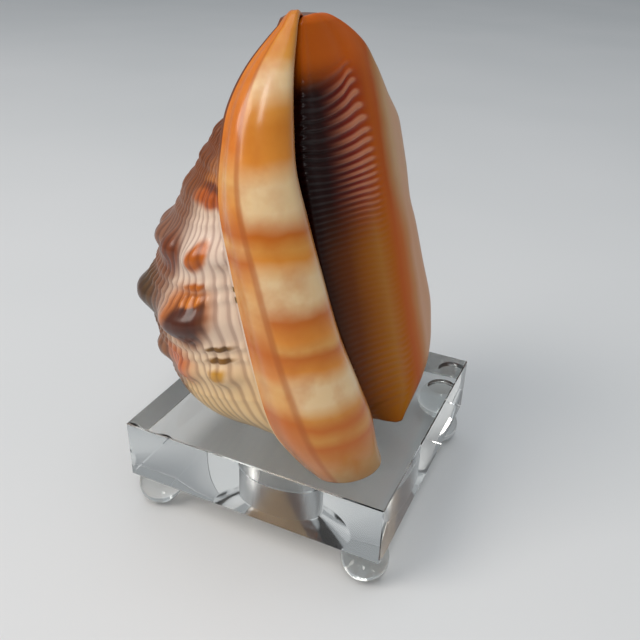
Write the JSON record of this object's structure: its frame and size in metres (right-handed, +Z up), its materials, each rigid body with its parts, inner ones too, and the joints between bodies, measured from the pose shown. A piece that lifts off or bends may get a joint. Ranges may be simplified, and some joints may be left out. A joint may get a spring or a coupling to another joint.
{
  "type": "helmet shell on a display block",
  "caption": "Bullmouth-type helmet shell with a thick rolled lip, knobbed whorl and smooth shield, standing spire down in the bored, clear block on ball feet.",
  "frame": {"origin": "middle of the object's outline on the surface that its feet stand on", "axes": "+Z up, +X the side that the aperture and the shield face, -Y the block's side on the outer lip's side"},
  "size_m": [0.1118, 0.111, 0.1769],
  "materials": {
    "shell_glaze": "natural shell: glossy orange and cream lip and shield, satin ribbed whorl",
    "block_acrylic": "clear cast acrylic, polished faces, frosted bore wall",
    "foot_acrylic": "clear acrylic balls, polished"
  },
  "bodies": {
    "root": {"shell": "shell_glaze", "block": "block_acrylic", "foot_front_left": "foot_acrylic", "foot_front_right": "foot_acrylic", "foot_back_right": "foot_acrylic", "foot_back_left": "foot_acrylic"}
  },
  "joints": []
}
